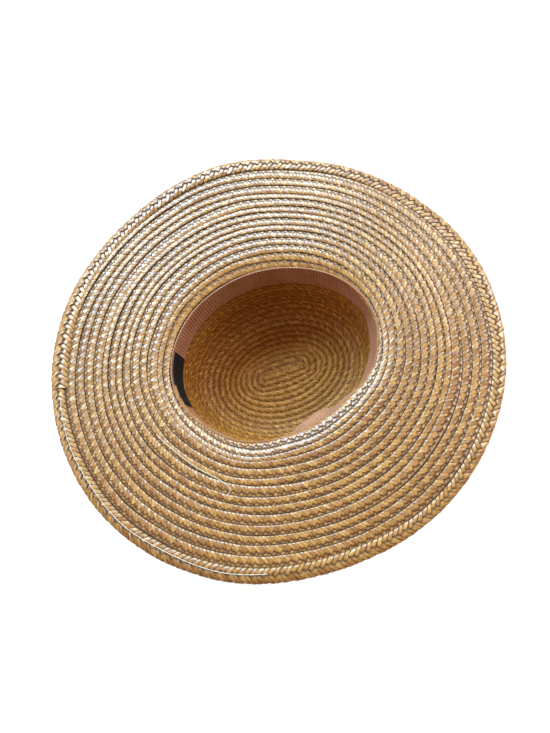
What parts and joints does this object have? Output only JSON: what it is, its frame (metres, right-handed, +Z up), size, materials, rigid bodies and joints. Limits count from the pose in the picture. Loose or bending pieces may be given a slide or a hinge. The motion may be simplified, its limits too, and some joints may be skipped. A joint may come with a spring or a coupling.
{
  "type": "straw hat",
  "caption": "Wide-brimmed sun hat sewn from plaited straw, with a ribbon sweatband, lying upside down on the tip of its crown.",
  "frame": {"origin": "middle of the hat's box, on the surface that the crown's tip lies on", "axes": "+Z up, out of the head opening as the hat lies upside down; +X along the hat's long axis to the front of the head; +Y to the side"},
  "size_m": [0.4214, 0.4034, 0.1018],
  "materials": {
    "crown_straw": "plaited wheat straw, satin, golden brown",
    "brim_straw": "plaited wheat straw, satin, golden beige",
    "edge_straw": "coarser plaited wheat straw, satin, golden beige",
    "ribbon": "ribbed grosgrain ribbon, dusty rose",
    "tab": "woven satin tab, black and bare"
  },
  "bodies": {
    "root": {"crown": "crown_straw", "brim": "brim_straw", "edge_braid": "edge_straw", "sweatband": "ribbon", "label": "tab"}
  },
  "joints": []
}
